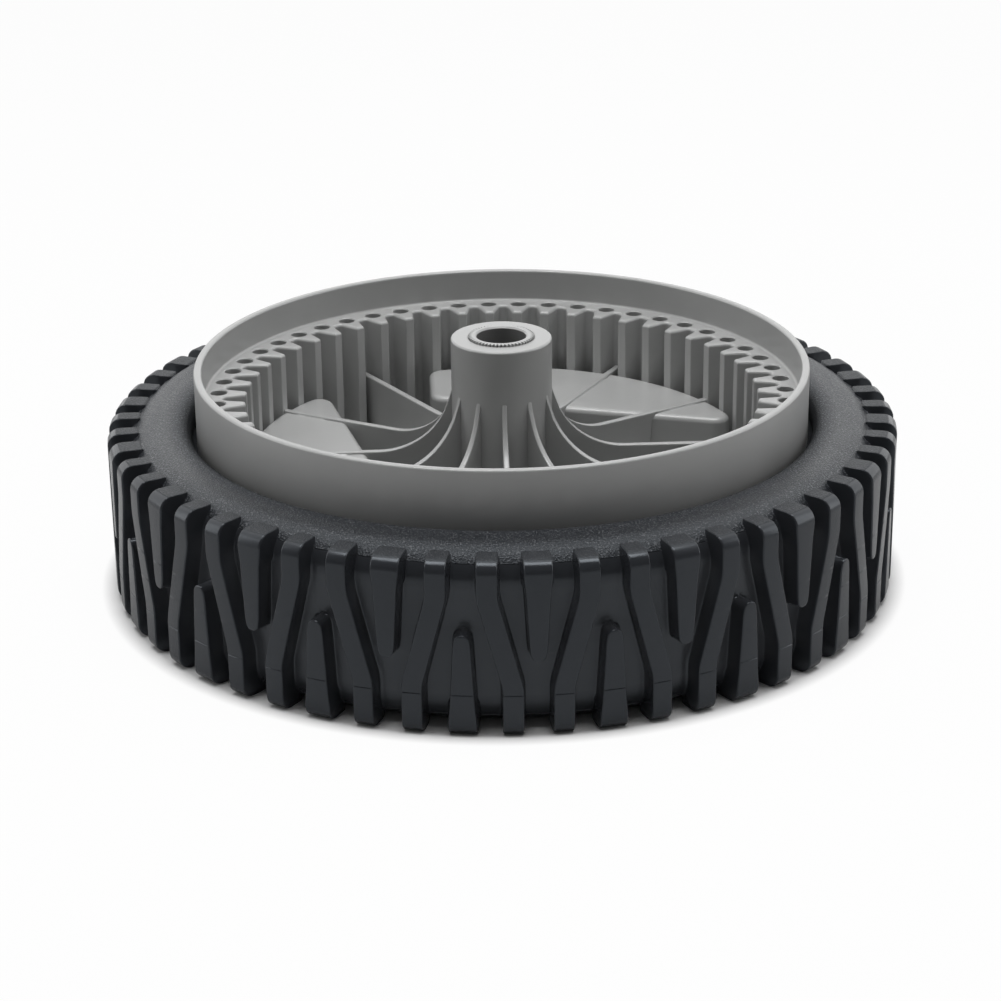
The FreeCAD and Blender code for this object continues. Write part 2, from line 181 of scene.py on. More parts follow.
class Skin:
    """Points and faces of a piece, gathered ring by ring."""

    def __init__(self):
        self.points = []
        self.faces = []

    def ring(self, points):
        first = len(self.points)
        self.points.extend(points)
        return list(range(first, len(self.points)))

    def band(self, near, far):
        """Quads between two rings of equal count."""
        count = len(near)
        for index in range(count):
            after = (index + 1) % count
            self.faces.append((near[index], near[after], far[after], far[index]))

    def stack(self, rings, looped=False):
        """Bands between rings that follow one another, and back to the first one where they make a loop."""
        for near, far in zip(rings, rings[1:] + rings[:1] if looped else rings[1:]):
            self.band(near, far)

    def lathe(self, profile, columns, start):
        """Rings that a profile of (radius, height) leaves when turned about the axle from an angle."""
        step = 2 * math.pi / columns
        return [self.ring([polar(r, start + k * step, z) for k in range(columns)]) for r, z in profile]

    def sheet(self, loops):
        """Flat face bounded by the first loop, with the other loops as holes."""
        indices = [index for loop in loops for index in loop]
        outlines = [[Vector(self.points[index]) for index in loop] for loop in loops]
        for triangle in tessellate_polygon(outlines):
            self.faces.append(tuple(indices[corner] for corner in triangle))


def polar(radius, angle, height):
    return radius * math.sin(angle), -radius * math.cos(angle), height


def arc(centre, radius, first, last, steps):
    """Points of a round stretch of a section, from one angle to another in degrees."""
    angles = [math.radians(first + (last - first) * step / steps) for step in range(steps + 1)]
    return [(centre[0] + radius * math.cos(angle), centre[1] + radius * math.sin(angle)) for angle in angles]


def mix(first, second, share):
    return first + (second - first) * share


def place(name, skin, material, node):
    """Makes the mesh, closes its seams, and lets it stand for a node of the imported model."""
    mesh = bpy.data.meshes.new(name)
    mesh.from_pydata(skin.points, [], skin.faces)
    work = bmesh.new()
    work.from_mesh(mesh)
    bmesh.ops.remove_doubles(work, verts=work.verts, dist=WELD)
    bmesh.ops.recalc_face_normals(work, faces=work.faces)
    work.to_mesh(mesh)
    work.free()
    mesh.shade_smooth()
    mesh.set_sharp_from_angle(angle=CREASE)
    mesh.materials.append(material)
    piece = bpy.data.objects.new(name, mesh)
    bpy.context.scene.collection.objects.link(piece)
    even = piece.modifiers.new("even shading", "WEIGHTED_NORMAL")
    even.keep_sharp = True
    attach(piece, "root")
    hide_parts(node)


# Tyre

Row = namedtuple("Row", "base crest height pinch")


def lug_edge():
    """Side of a lug from its top to the groove.

    Gives steps outwards from the lug's edge, each with its share of the lug's height.
    """
    brow = arc((-LUG_EDGE_ROUND, -LUG_EDGE_ROUND), LUG_EDGE_ROUND, 90, 0, steps=3)
    foot = LUG_DRAFT + LUG_FOOT_ROUND
    hollow = arc((foot, LUG_FOOT_ROUND - LUG_HEIGHT), LUG_FOOT_ROUND, 180, 270, steps=2)
    return [(out, 1 + drop / LUG_HEIGHT) for out, drop in brow + hollow]


LUG_EDGE = lug_edge()


def lean(height):
    """How far a long lug stands from its pair's middle line, as an arc of the crown."""
    shares = []
    for ease in (-BEND_EASE, 0, BEND_EASE):
        share = (height + ease - LOWER_BEND) / (UPPER_BEND - LOWER_BEND)
        shares.append(min(max(share, 0), 1))
    return LUG_PITCH * (1 - sum(shares) / (2 * len(shares)))


def finger(along, length):
    """Half width of a tapered finger, and how much of its height stands, at a distance from its root."""
    to_tip = length - along
    taper = mix(FINGER_TIP_HALF, FINGER_HALF, min(max(to_tip / length, 0), 1))
    if to_tip >= FINGER_TIP_HALF:
        return taper, 1
    share = min(max(1 - to_tip / FINGER_TIP_HALF, 0), 1)
    round_half = max(FINGER_TIP_HALF * math.sqrt(1 - share * share), LUG_DRAFT)
    for (near_out, near_rise), (far_out, far_rise) in zip(LUG_EDGE, LUG_EDGE[1:]):
        if near_out <= -to_tip <= far_out:
            return round_half, mix(near_rise, far_rise, (-to_tip - near_out) / (far_out - near_out))
    if -to_tip > LUG_EDGE[-1][0]:
        return FINGER_GHOST_HALF, 0
    return round_half, 1


def lug_layout(height):
    """Angle of the middle line, half width and standing share of the lugs of one period."""
    away = lean(height) / TYRE_RADIUS
    half_period = math.pi / TREAD_PERIODS
    bottom_half, bottom_share = finger(height, BOTTOM_FINGER_TIP)
    top_half, top_share = finger(TYRE_TOP - height, TYRE_TOP - TOP_FINGER_TIP)
    return [
        (-away, LONG_LUG_HALF, 1),
        (0, bottom_half, bottom_share),
        (away, LONG_LUG_HALF, 1),
        (half_period, top_half, top_share),
    ]


def shoulder_rows(fall):
    """Rows from the crown's edge over the shoulder to the rim's groove, with lug ends lower by a fall."""
    pivot = (TREAD_BASE - SHOULDER_ROUND, TYRE_TOP - SHOULDER_ROUND)

    def base(angle):
        return arc(pivot, SHOULDER_ROUND, angle, angle, steps=1)[0]

    def sunk(angle):
        return arc(pivot, SHOULDER_ROUND - GRAIN_EDGE_SINK, angle, angle, steps=1)[0]

    pad_top = TYRE_TOP - fall
    crest_pivot = (TYRE_RADIUS - LUG_END_ROUND, pad_top - LUG_END_ROUND)
    rounding = arc(crest_pivot, LUG_END_ROUND, 0, 90, steps=6)
    rows = [(base(angle), point, 0) for angle, point in zip(CREST_ROWS, rounding)]
    edge_crests = [mix(rounding[-1][0], PAD_START, share) for share in PAD_CREST_SHARES]
    edge_bases = (base(GRAIN_EDGE - GRAIN_EDGE_HALF), sunk(GRAIN_EDGE), base(GRAIN_EDGE + GRAIN_EDGE_HALF))
    rows += [(low, (out, pad_top), 0) for low, out in zip(edge_bases, edge_crests)]
    rows.append((base(PAD_ROW), (PAD_START + PAD_REST, pad_top), 0))
    inner_end = arc((PAD_START + PAD_EDGE_ROUND, pad_top - PAD_EDGE_ROUND), PAD_EDGE_ROUND, 90, 165, steps=3)
    rows += [
        (base(angle), point, PAD_CORNER * share)
        for angle, point, share in zip(PAD_END_ROWS, inner_end, PAD_CORNER_SHARES)
    ]
    rows += [(base(angle), base(angle), PAD_CORNER) for angle in SIDEWALL_ROWS]
    lip = RIM_RADIUS + BEAD_GAP
    plain = [(TREAD_BASE - SHOULDER_ROUND - SIDEWALL_FLAT, TYRE_TOP)]
    plain += arc((lip + BEAD_ROUND, TYRE_TOP - BEAD_ROUND), BEAD_ROUND, 90, 180, steps=6)
    plain += [(lip, TYRE_TOP - BEAD_DEPTH), (RIM_RADIUS, TYRE_TOP - BEAD_DEPTH)]
    rows += [(point, point, 0) for point in plain]
    return [Row(base_point, crest, TYRE_TOP, pinch) for base_point, crest, pinch in rows]


def crown_heights():
    """Heights of the rows across the crown, close together at bends, finger tips and the parting line."""
    low, high = SHOULDER_ROUND, TYRE_TOP - SHOULDER_ROUND
    heights = [low, high, PARTING_HEIGHT, PARTING_HEIGHT - PARTING_HALF, PARTING_HEIGHT + PARTING_HALF]
    for bend in (LOWER_BEND, UPPER_BEND):
        heights += [bend - BEND_EASE, bend, bend + BEND_EASE]
    for tip, way in ((BOTTOM_FINGER_TIP, 1), (TOP_FINGER_TIP, -1)):
        heights += [tip - way * FINGER_TIP_HALF * (1 - share) for share in TIP_ROW_SHARES]
        heights += [tip + way * out for out, _ in LUG_EDGE]
        heights += [tip + way * (LUG_EDGE[-1][0] + LUG_EDGE_ROUND)]
    inside = sorted(height for height in heights if low <= height <= high)
    filled = [inside[0]]
    for height in inside[1:]:
        gap = height - filled[-1]
        if gap < LEAST_ROW_GAP:
            continue
        extra = int(gap / ROW_SPACING)
        filled += [mix(filled[-1], height, (step + 1) / (extra + 1)) for step in range(extra)]
        filled.append(height)
    return filled


def seat_ridge():
    """Section of the rim's low ridge under the tyre, from below."""
    low, high = TYRE_MIDDLE - SEAT_RIDGE_HALF, TYRE_MIDDLE + SEAT_RIDGE_HALF
    return [(RIM_RADIUS, low), (SEAT_RIDGE_RADIUS, low), (SEAT_RIDGE_RADIUS, high), (RIM_RADIUS, high)]


def tyre_rows():
    """All rows of the tyre's skin, from the upper groove over the crown and round behind the rim."""
    upper = shoulder_rows(LUG_END_FALL)
    lower = [
        Row((row.base[0], TYRE_TOP - row.base[1]), (row.crest[0], TYRE_TOP - row.crest[1]), 0, row.pinch)
        for row in shoulder_rows(0)
    ]
    crown = []
    for height in reversed(crown_heights()):
        sunk = PARTING_DEPTH if abs(height - PARTING_HEIGHT) < PARTING_HALF / 2 else 0
        crown.append(Row((TREAD_BASE, height), (TYRE_RADIUS - sunk, height), height, 0))
    return upper[::-1] + crown + lower + [Row(point, point, 0, 0) for point in seat_ridge()]


def tyre_row_points(row):
    """Points of one row round the wheel, along the sides and tops of its lugs."""
    profile = [(-out, rise, -1) for out, rise in reversed(LUG_EDGE)]
    profile += [(0, 1, 0)] + [(out, rise, 1) for out, rise in LUG_EDGE]
    points = []
    for period in range(TREAD_PERIODS):
        middle = TREAD_TURN + period * 2 * math.pi / TREAD_PERIODS
        for away, half, share in lug_layout(row.height):
            for out, rise, side in profile:
                radius = mix(row.base[0], row.crest[0], rise * share)
                height = mix(row.base[1], row.crest[1], rise * share)
                across = side * (half - row.pinch * share) + out
                turn = middle + away + across / max(radius, PAD_START)
                points.append(polar(radius, turn, height))
    return points


def make_tyre(material):
    skin = Skin()
    skin.stack([skin.ring(tyre_row_points(row)) for row in tyre_rows()], looped=True)
    place("lugged_tyre", skin, material, "tyre")


# Hub

def rounded(before, corner, after, radius, steps):
    """Points of a round corner between two straight edges."""
    corner = Vector(corner)
    to_before = (Vector(before) - corner).normalized()
    to_after = (Vector(after) - corner).normalized()
    half = math.acos(to_before.dot(to_after)) / 2
    centre = corner + (to_before + to_after).normalized() * (radius / math.sin(half))
    first = corner + to_before * (radius / math.tan(half)) - centre
    last = corner + to_after * (radius / math.tan(half)) - centre
    points = []
    for step in range(steps + 1):
        spoke = first.lerp(last, step / steps).normalized() * radius
        points.append(tuple(centre + spoke))
    return points


def tooth_outline(inset):
    """One tooth from gap middle to gap middle, moved into its solid by an inset.

    Points are (outwards, sideways) from the axle, on the tooth's middle line.
    """
    half_pitch = math.pi / GEAR_TEETH
    half_gap = math.pi * GEAR_MODULE / 4 + inset / math.cos(PRESSURE_ANGLE)
    slope = math.tan(PRESSURE_ANGLE)
    root_radius = ROOT_RADIUS + inset
    tip_radius = TIP_RADIUS + inset
    half_root = half_gap - (root_radius - PITCH_RADIUS) * slope
    half_mouth = half_gap + (PITCH_RADIUS - tip_radius) * slope

    def on_tooth(point):
        out, side = point
        turned = (math.cos(half_pitch), math.sin(half_pitch))
        return out * turned[0] + side * turned[1], side * turned[0] - out * turned[1]

    root_middle = on_tooth((root_radius, 0))
    root_corner = on_tooth((root_radius, half_root))
    tip_corner = on_tooth((math.sqrt(tip_radius ** 2 - half_mouth ** 2), half_mouth))
    tip_middle = (tip_radius, 0)
    tip_round = max(TOOTH_TIP_ROUND - inset, TOOTH_LEAST_ROUND)
    root = rounded(root_middle, root_corner, tip_corner, TOOTH_ROOT_ROUND + inset, steps=4)
    tip = rounded(root_corner, tip_corner, tip_middle, tip_round, steps=3)
    flank = [tuple(Vector(root[-1]).lerp(Vector(tip[0]), share)) for share in (0.25, 0.5, 0.75)]
    half = [root_middle] + root + flank + tip + [tip_middle]
    return half + [(out, -side) for out, side in half[-2::-1]]


def tooth_point(tooth, out, side, height):
    angle = HUB_TURN + tooth * 2 * math.pi / GEAR_TEETH
    x = out * math.sin(angle) + side * math.cos(angle)
    y = side * math.sin(angle) - out * math.cos(angle)
    return x, y, height


def add_gear(skin):
    """Ring gear, its face with the core holes, and the rim drum round it."""
    edge = TOOTH_END_ROUND
    levels = [(depth, GEAR_FACE + drop) for depth, drop in arc((edge, -edge), edge, 90, 180, steps=4)]
    rings = []
    for depth, height in levels + [(0, FLOOR_MIDDLE)]:
        outline = tooth_outline(depth)[:-1]
        rings.append(skin.ring([
            tooth_point(tooth, out, side, height) for tooth in range(GEAR_TEETH) for out, side in outline
        ]))
    skin.stack(rings)
    add_drum(skin, rings[-1])
    face_edge = tooth_outline(edge)
    for tooth in range(GEAR_TEETH):
        add_tooth_face(skin, tooth, face_edge)


def add_drum(skin, gear_foot):
    """Rim drum from the gear face over the lip, down the outside and back to the gear's foot."""
    edge = LIP_EDGE_ROUND
    profile = arc((DRUM_RADIUS - FACE_FILLET, GEAR_FACE + FACE_FILLET), FACE_FILLET, -90, 0, steps=4)
    profile += arc((DRUM_RADIUS + edge, LIP_TOP - edge), edge, 180, 90, steps=4)
    profile += arc((RIM_RADIUS - edge, LIP_TOP - edge), edge, 90, 0, steps=4)
    profile += reversed(seat_ridge())
    profile += arc((RIM_RADIUS - edge, RIM_FOOT + edge), edge, 0, -90, steps=4)
    profile += arc((DRUM_RADIUS + edge, RIM_FOOT + edge), edge, -90, -180, steps=4)
    profile.append((DRUM_RADIUS, FLOOR_MIDDLE))
    half_pitch = math.pi / GEAR_TEETH
    skin.stack(skin.lathe(profile, len(gear_foot), HUB_TURN - half_pitch) + [gear_foot])


def add_tooth_face(skin, tooth, face_edge):
    """End face of one tooth out to the drum, with its core hole."""
    half_pitch = math.pi / GEAR_TEETH
    count = len(face_edge)
    reach = DRUM_RADIUS - FACE_FILLET
    rim = arc((0, 0), reach, math.degrees(half_pitch), -math.degrees(half_pitch), count - 1)
    right = [Vector(face_edge[-1]).lerp(Vector(rim[0]), share) for share in (1 / 3, 2 / 3)]
    left = [Vector(rim[-1]).lerp(Vector(face_edge[0]), share) for share in (1 / 3, 2 / 3)]
    border = list(face_edge) + [tuple(p) for p in right] + rim + [tuple(p) for p in left]
    angles = [math.atan2(side, CORE_HOLE_CIRCLE - out) for out, side in border]

    def hole(radius, height):
        return skin.ring([
            tooth_point(tooth, CORE_HOLE_CIRCLE - radius * math.cos(a), radius * math.sin(a), height)
            for a in angles
        ])

    rings = [skin.ring([tooth_point(tooth, out, side, GEAR_FACE) for out, side in border])]
    rings += [
        hole(CORE_HOLE_RADIUS + CORE_HOLE_EDGE, GEAR_FACE),
        hole(CORE_HOLE_RADIUS, GEAR_FACE - CORE_HOLE_EDGE),
        hole(CORE_HOLE_RADIUS, GEAR_FACE - CORE_HOLE_DEPTH),
        hole(CORE_HOLE_RADIUS / 2, GEAR_FACE - CORE_HOLE_DEPTH),
    ]
    skin.stack(rings)
    skin.faces.append(tuple(rings[-1]))


def add_boss(skin):
    """Tube round the axle bush."""
    edge = BOSS_EDGE_ROUND
    profile = [(BUSH_RADIUS, BOSS_FOOT), (BOSS_RADIUS - edge, BOSS_FOOT)]
    profile += arc((BOSS_RADIUS - edge, BOSS_FOOT + edge), edge, -90, 0, steps=4)
    profile += arc((BOSS_RADIUS - edge, BOSS_TOP - edge), edge, 0, 90, steps=5)
    profile += [(BUSH_RADIUS + BUSH_SEAT_CHAMFER, BOSS_TOP), (BUSH_RADIUS, BOSS_TOP - BUSH_SEAT_CHAMFER)]
    skin.stack(skin.lathe(profile, BOSS_COLUMNS, HUB_TURN), looped=True)


def plate_outline(inset, number):
    """Plan of a raised plate, set in from its edge: straight side, slanted inner edge and the ring's arc."""
    side = PLATE_SIDE - inset
    chord = PLATE_CHORD + inset
    reach = PLATE_REACH - inset
    corner = PLATE_CORNER - inset
    end = PLATE_END_ROUND - inset
    slant = PLATE_SLANT
    slant_degrees = math.degrees(slant)
    corner_height = (chord + side * math.sin(slant)) / math.cos(slant)
    set_back = corner / math.tan((slant + math.pi / 2) / 2)
    along = math.sqrt((reach - end) ** 2 - (chord + end) ** 2)
    edge_end = (
        (chord + end) * math.sin(slant) + along * math.cos(slant),
        (chord + end) * math.cos(slant) - along * math.sin(slant),
    )
    side_end = (end - side, math.sqrt((reach - end) ** 2 - (side - end) ** 2))
    edge_angle = math.degrees(math.atan2(edge_end[1], edge_end[0]))
    side_angle = math.degrees(math.atan2(side_end[1], side_end[0]))
    points = arc(side_end, end, side_angle, 180, steps=8)
    points += arc((corner - side, corner_height + set_back), corner, 180, 270 - slant_degrees, steps=10)
    points += arc(edge_end, end, -90 - slant_degrees, edge_angle, steps=12)
    points += arc((0, 0), reach, edge_angle, side_angle, steps=48)[1:-1]
    turn = HUB_TURN + number * 2 * math.pi / PLATE_COUNT
    c, s = math.cos(turn), math.sin(turn)
    return [(c * x - s * y, s * x + c * y) for x, y in points]


def under_plate(x, y, margin=0):
    """Whether a place lies within a raised plate, and at least a margin from its edge."""
    radius = math.hypot(x, y)
    for number in range(PLATE_COUNT):
        turn = HUB_TURN + number * 2 * math.pi / PLATE_COUNT
        u = math.cos(turn) * x + math.sin(turn) * y
        v = math.cos(turn) * y - math.sin(turn) * x
        inner = u * math.sin(PLATE_SLANT) + v * math.cos(PLATE_SLANT)
        if u > margin - PLATE_SIDE and inner > PLATE_CHORD + margin and radius < PLATE_REACH - margin:
            return True
    return False


def add_floor(skin):
    """Floor with the raised plates on top and their recesses below."""
    corners = [(BOSS_WALL_MIDDLE, FLOOR_UNDER), (FLOOR_REACH, FLOOR_UNDER)]
    corners += [(BOSS_WALL_MIDDLE, FLOOR_TOP), (FLOOR_REACH, FLOOR_TOP)]
    inner_under, outer_under, inner_top, outer_top = skin.lathe(corners, FLOOR_COLUMNS, 0)
    skin.band(inner_under, inner_top)
    skin.band(outer_under, outer_top)
    upper_feet = []
    lower_feet = []
    for number in range(PLATE_COUNT):
        edge = PLATE_EDGE_ROUND
        bow = arc((edge, PLATE_TOP - edge), edge, 180, 90, steps=5)
        upper_feet.append(add_rise(skin, [(0, FLOOR_TOP)] + bow, number))
        ceiling = PLATE_TOP - PLATE_THICKNESS
        lower_feet.append(add_rise(skin, [(PLATE_WALL, FLOOR_UNDER), (PLATE_WALL, ceiling)], number))
    skin.sheet([outer_top, inner_top] + upper_feet)
    skin.sheet([outer_under, inner_under] + lower_feet)


def add_rise(skin, steps, number):
    """Walls and top of a plate or of its recess; gives the loop at its foot."""
    rings = [skin.ring([(x, y, height) for x, y in plate_outline(inset, number)]) for inset, height in steps]
    skin.stack(rings)
    skin.sheet([rings[-1]])
    return rings[0]


def rib_height(radius):
    """Top of a rib: level near the ring, and swept up to the boss."""
    inward = BOSS_RADIUS + RIB_SWEEP - radius
    if inward <= 0:
        return RIB_TOP
    inward = min(inward, RIB_SWEEP)
    return RIB_TOP + RIB_SWEEP - math.sqrt(RIB_SWEEP ** 2 - inward ** 2)


def add_rib(skin, number):
    """Rib from the boss to the ring, thinner at the boss; over a plate only a low ridge of it shows."""
    angle = HUB_TURN + number * 2 * math.pi / RIB_COUNT
    stations = int((RIB_REACH - BOSS_WALL_MIDDLE) / RIB_STEP)
    sections = []
    for station in range(stations + 1):
        radius = mix(BOSS_WALL_MIDDLE, RIB_REACH, station / stations)
        x, y, _ = polar(radius, angle, 0)
        top = rib_height(radius)
        foot = PLATE_TOP - PLATE_THICKNESS / 2 if under_plate(x, y) else FLOOR_MIDDLE
        flare = RIB_RIDGE_FLARE if under_plate(x, y, RIB_RIDGE_MARGIN) else 0
        half = mix(RIB_BOSS_HALF, RIB_HALF, min(max((radius - BOSS_RADIUS) / RIB_SWEEP, 0), 1))
        flat = half - RIB_EDGE_ROUND
        crest = arc((-flat, top - RIB_EDGE_ROUND), RIB_EDGE_ROUND, 180, 90, steps=3)
        crest += arc((flat, top - RIB_EDGE_ROUND), RIB_EDGE_ROUND, 90, 0, steps=3)
        section = [(-half - flare, foot)] + crest + [(half + flare, foot)]
        sections.append(skin.ring([
            (x + side * math.cos(angle), y + side * math.sin(angle), height) for side, height in section
        ]))
    skin.stack(sections)
    skin.faces.append(tuple(sections[0]))
    skin.faces.append(tuple(sections[-1]))


def make_hub(material):
    skin = Skin()
    add_gear(skin)
    add_boss(skin)
    add_floor(skin)
    for number in range(RIB_COUNT):
        add_rib(skin, number)
    place("geared_hub", skin, material, "hub")


# Axle bush

def make_bush(material):
    """Sleeve with straight serrations round its outside."""
    skin = Skin()
    columns = SERRATIONS * len(SERRATION_FORM)
    step = 2 * math.pi / columns
    outside = [BUSH_RADIUS - SERRATION_DEPTH * share for share in SERRATION_FORM] * SERRATIONS
    levels = [
        ([BORE_RADIUS] * columns, BUSH_TOP - BUSH_CHAMFER),
        ([BORE_RADIUS + BUSH_CHAMFER] * columns, BUSH_TOP),
        ([radius - BUSH_EDGE for radius in outside], BUSH_TOP),
        (outside, BUSH_TOP - BUSH_EDGE),
        (outside, BOSS_FOOT),
        ([BORE_RADIUS] * columns, BOSS_FOOT),
    ]
    rings = [
        skin.ring([polar(radius, HUB_TURN + k * step, height) for k, radius in enumerate(radii)])
        for radii, height in levels
    ]
    skin.stack(rings, looped=True)
    place("serrated_bush", skin, material, "axle_bush")


# Where the zones of the rubber lie
GRAIN_RADIUS = 99.0 * MM
GRAIN_FADE = 0.4 * MM
GRAIN_EDGE_BLUR = 0.05 * MM
GRAIN_UPRIGHT = (0.3, 0.5)
GROOVE_RADIUS = 82.2 * MM
GROOVE_FADE = 1.2 * MM
BY_RIM_REACH = 8.0 * MM
LUG_TOP_DEPTHS = (0.9 * MM, 0.75 * MM)
PAD_FADE = 0.3 * MM
# Reach of the painted fill light between the lugs: from this far under the lug tops, fading out round the
# crown's edge
FILL_LIGHT_START = 0.5 * MM
FILL_LIGHT_FADE = (1.0 * MM, 2.0 * MM)

# Tones and shine of the rubber
SMOOTH_TONES = ((0.0265, 0.0285, 0.0325, 1), (0.0305, 0.0325, 0.037, 1))
# Painted fill light: lighter tone for the groove base and lug walls between the lugs
TREAD_FILL_LIGHT_TONE = (0.05, 0.0525, 0.058, 1)
GRAIN_TONES = ((0.0095, 0.0105, 0.0128, 1), (0.13, 0.134, 0.142, 1))
GRAIN_SPECKLE = (0.54, 0.68)
# Painted shade: the flat lug tops are darkened towards this tone, by this share
LUG_TOP_PAINTED_SHADE = (0.006, 0.0065, 0.008, 1)
LUG_TOP_SHADE_SHARE = 0.6
# Painted shade: the deep groove between tyre and rim is darkened to this tone
GROOVE_PAINTED_SHADE = (0.004, 0.0042, 0.005, 1)
RUBBER_DUST = (0.3, 0.3, 0.29, 1)
SMOOTH_ROUGHNESS = (0.2, 0.26)
GRAIN_ROUGHER = 0.14
BY_RIM_ROUGHNESS = (0.62, 0.2)
LUG_TOP_ROUGHNESS = 0.5
GROOVE_ROUGHNESS = 0.9
RUBBER_SPECULAR = 0.36
RUBBER_TINT = (0.84, 0.92, 1, 1)
GRAIN_DEPTH_SHARES = (0.08, 1.0)
RUBBER_GRAIN_DEPTH = 0.3 * MM

# Tones and shine of the plastic, a dark and a light one for its patches
HUB_TONES = ((0.395, 0.399, 0.396, 1), (0.43, 0.434, 0.43, 1))
BUSH_TONES = ((0.39, 0.393, 0.39, 1), (0.43, 0.433, 0.43, 1))
# Painted shade on the bush's bore wall, and how it fades out towards the chamfer
BORE_PAINTED_SHADE = (0.2, 0.2, 0.2, 1)
BORE_SHADE_FADE = (0.02 * MM, 0.1 * MM)
PLASTIC_DUST = (0.2, 0.19, 0.17, 1)
PLASTIC_ROUGHNESS = (0.29, 0.37)
PLASTIC_SPECULAR = 0.8
PLASTIC_GRAIN_STRENGTH = 0.25
PLASTIC_GRAIN_DEPTH = 0.06 * MM

# Noise between these levels makes the patches, and dust settles where a face is turned up this far
PATCH_LEVELS = (0.3, 0.7)
DUST_UPWARD = (0.5, 0.9)

# Sockets of a mix node that carry its colours
MIX_FIRST = 6
MIX_SECOND = 7
MIX_RESULT = 2


class Nodes:
    """Adds nodes to a tree and joins them by socket name."""

    def __init__(self, tree):
        self.tree = tree

    def add(self, kind, inputs=None, **settings):
        node = self.tree.nodes.new(kind)
        for name, value in settings.items():
            setattr(node, name, value)
        for name, value in (inputs or {}).items():
            self.feed(value, node.inputs[name])
        return node

    def feed(self, value, socket):
        if isinstance(value, bpy.types.NodeSocket):
            self.tree.links.new(value, socket)
        else:
            socket.default_value = value

    def math(self, operation, first, second=0.0):
        node = self.add("ShaderNodeMath", operation=operation)
        self.feed(first, node.inputs[0])
        self.feed(second, node.inputs[1])
        return node.outputs[0]

    def spread(self, value, low, high, to_low=0.0, to_high=1.0):
        inputs = {"Value": value, "From Min": low, "From Max": high, "To Min": to_low, "To Max": to_high}
        return self.add("ShaderNodeMapRange", inputs).outputs["Result"]

    def from_axle(self, spot):
        """Distance of a place from the axle's line."""
        level = self.add("ShaderNodeVectorMath", {0: spot, 1: (1, 1, 0)}, operation="MULTIPLY")
        length = self.add("ShaderNodeVectorMath", {0: level.outputs["Vector"]}, operation="LENGTH")
        return length.outputs["Value"]

    def blend(self, share, first, second):
        node = self.add("ShaderNodeMix", data_type="RGBA")
        self.feed(share, node.inputs[0])
        self.feed(first, node.inputs[MIX_FIRST])
        self.feed(second, node.inputs[MIX_SECOND])
        return node.outputs[MIX_RESULT]


def new_group(name, inputs, outputs):
    """Shader node group with named number inputs and outputs."""
    tree = bpy.data.node_groups.new(name, "ShaderNodeTree")
    for label, value in inputs.items():
        socket = tree.interface.new_socket(label, in_out="INPUT", socket_type="NodeSocketFloat")
        socket.default_value = value
    for label in outputs:
        tree.interface.new_socket(label, in_out="OUTPUT", socket_type="NodeSocketFloat")
    nodes = Nodes(tree)
    given = nodes.add("NodeGroupInput")
    result = nodes.add("NodeGroupOutput")
    return tree, nodes, given.outputs, result.inputs


def mould_grain_group():
    """Fine pits of a spark-eroded mould, with soft patches where they are worn flatter."""
    inputs = {"Grain": 2600.0, "Patch": 55.0}
    tree, nodes, given, result = new_group("mould grain", inputs, ["Height", "Patches"])
    place_at = nodes.add("ShaderNodeTexCoord").outputs["Object"]
    pits = nodes.add("ShaderNodeTexNoise", {"Vector": place_at, "Scale": given["Grain"], "Detail": 3.0})
    patches = nodes.add("ShaderNodeTexNoise", {"Vector": place_at, "Scale": given["Patch"], "Detail": 4.0})
    nodes.feed(pits.outputs["Fac"], result["Height"])
    nodes.feed(nodes.spread(patches.outputs["Fac"], *PATCH_LEVELS), result["Patches"])
    return tree


def dust_group():
    """Single specks of pale dust that lie on faces turned up."""
    inputs = {"Spacing": 160.0, "Size": 0.06, "Share": 0.03}
    tree, nodes, given, result = new_group("settled dust", inputs, ["Specks"])
    place_at = nodes.add("ShaderNodeTexCoord").outputs["Object"]
    cells = nodes.add("ShaderNodeTexVoronoi", {"Vector": place_at, "Scale": given["Spacing"]})
    chosen = nodes.add("ShaderNodeSeparateColor", {"Color": cells.outputs["Color"]}).outputs["Red"]
    near = nodes.math("LESS_THAN", cells.outputs["Distance"], given["Size"])
    picked = nodes.math("LESS_THAN", chosen, given["Share"])
    normal = nodes.add("ShaderNodeNewGeometry").outputs["Normal"]
    rise = nodes.add("ShaderNodeSeparateXYZ", {"Vector": normal}).outputs["Z"]
    upward = nodes.spread(rise, *DUST_UPWARD)
    nodes.feed(nodes.math("MULTIPLY", nodes.math("MULTIPLY", near, picked), upward), result["Specks"])
    return tree


def new_finish(name):
    material = bpy.data.materials.new(name)
    material.use_nodes = True
    nodes = Nodes(material.node_tree)
    shader = material.node_tree.nodes["Principled BSDF"]
    return material, nodes, shader


def use_group(nodes, tree, **inputs):
    node = nodes.add("ShaderNodeGroup")
    node.node_tree = tree
    for name, value in inputs.items():
        nodes.feed(value, node.inputs[name])
    return node.outputs


